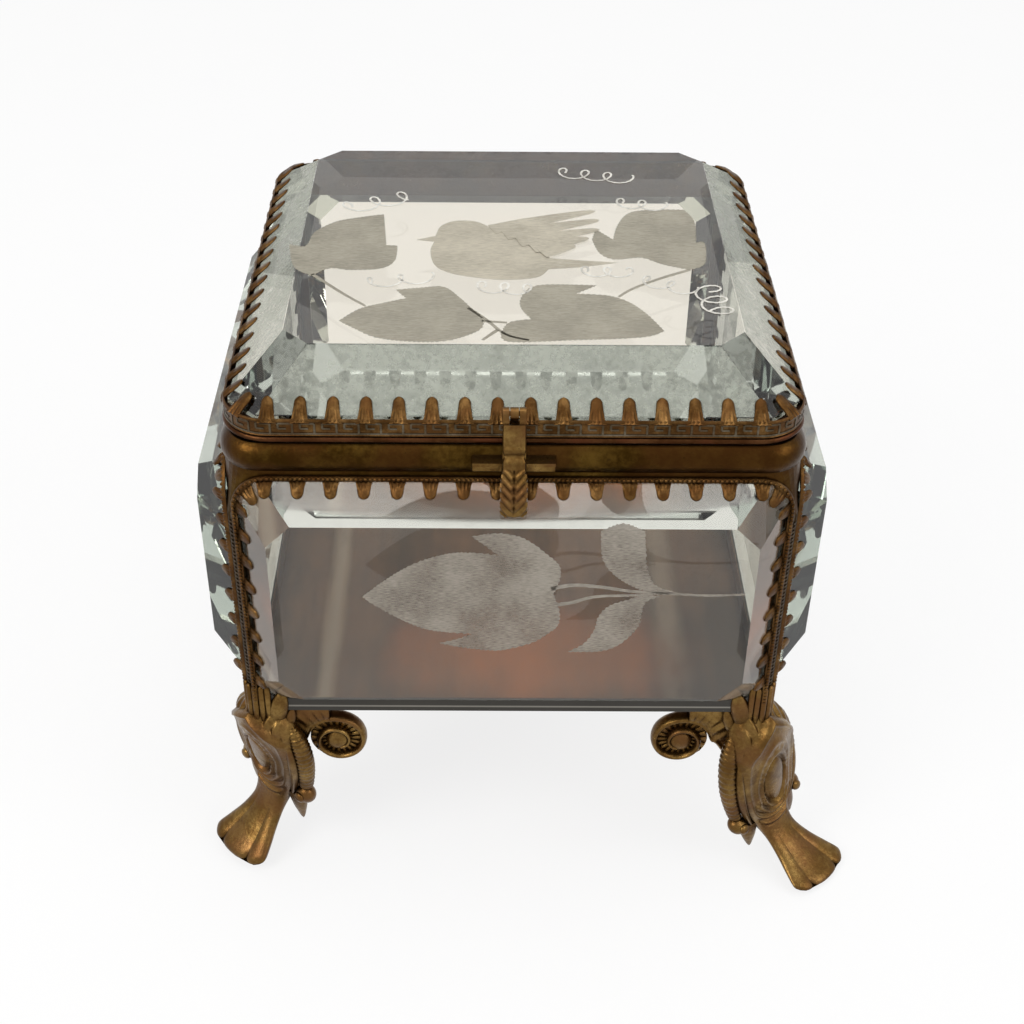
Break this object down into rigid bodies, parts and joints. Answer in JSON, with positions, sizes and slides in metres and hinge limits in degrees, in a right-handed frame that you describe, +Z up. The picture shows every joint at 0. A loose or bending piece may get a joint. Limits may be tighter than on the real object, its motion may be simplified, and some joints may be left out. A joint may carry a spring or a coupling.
{
  "type": "glass casket box",
  "caption": "Footed casket box of bevelled glass panels in a pronged brass frame, with a hinged glass lid and a hanging hasp.",
  "frame": {"origin": "centre of the footprint, on the surface that the toes stand on", "axes": "+Z up, -Y towards the hasp at the front, +X to the right seen from the front"},
  "size_m": [0.1636, 0.143, 0.1378],
  "materials": {
    "floor_brass": "tarnished brass sheet with coppery wear",
    "post_brass": "dark gilt brass",
    "rail_brass": "polished gilt brass",
    "gallery_brass": "antique gilt brass, brown patina",
    "side_glass": "clear bevelled plate glass, engraved on the front",
    "foot_brass": "satin antique gilt brass",
    "rim_brass": "antique gilt brass with a coppery edge",
    "lid_glass": "clear bevelled plate glass with frosted engraving",
    "fitting_brass": "worn gilt brass"
  },
  "bodies": {
    "case": {"tray": "floor_brass", "post_front_left": "post_brass", "post_front_right": "post_brass", "post_back_left": "post_brass", "post_back_right": "post_brass", "top_rail": "rail_brass", "front_gallery": "gallery_brass", "right_gallery": "gallery_brass", "back_gallery": "gallery_brass", "left_gallery": "gallery_brass", "front_glass": "side_glass", "right_glass": "side_glass", "back_glass": "side_glass", "left_glass": "side_glass", "foot_front_left": "foot_brass", "foot_front_right": "foot_brass", "foot_back_left": "foot_brass", "foot_back_right": "foot_brass", "catch_ledge": "fitting_brass", "hinge_case_leaf": "fitting_brass", "hinge_pin": "fitting_brass"},
    "lid": {"hinge_lid_leaf": "fitting_brass", "lid_rim": "rim_brass", "lid_gallery": "gallery_brass", "lid_glass": "lid_glass", "hasp_lug": "fitting_brass", "hasp_pin": "fitting_brass"},
    "hasp": {"hasp": "fitting_brass"}
  },
  "joints": [
    {"name": "lid_hinge", "type": "hinge", "parent": "case", "child": "lid", "pos_m": [0, 0.0632, 0.1236], "axis": [-1, 0, 0], "range_deg": [0, 100]},
    {"name": "hasp_swing", "type": "hinge", "parent": "lid", "child": "hasp", "pos_m": [0, -0.0614, 0.1312], "axis": [-1, 0, 0], "range_deg": [0, 100]}
  ]
}
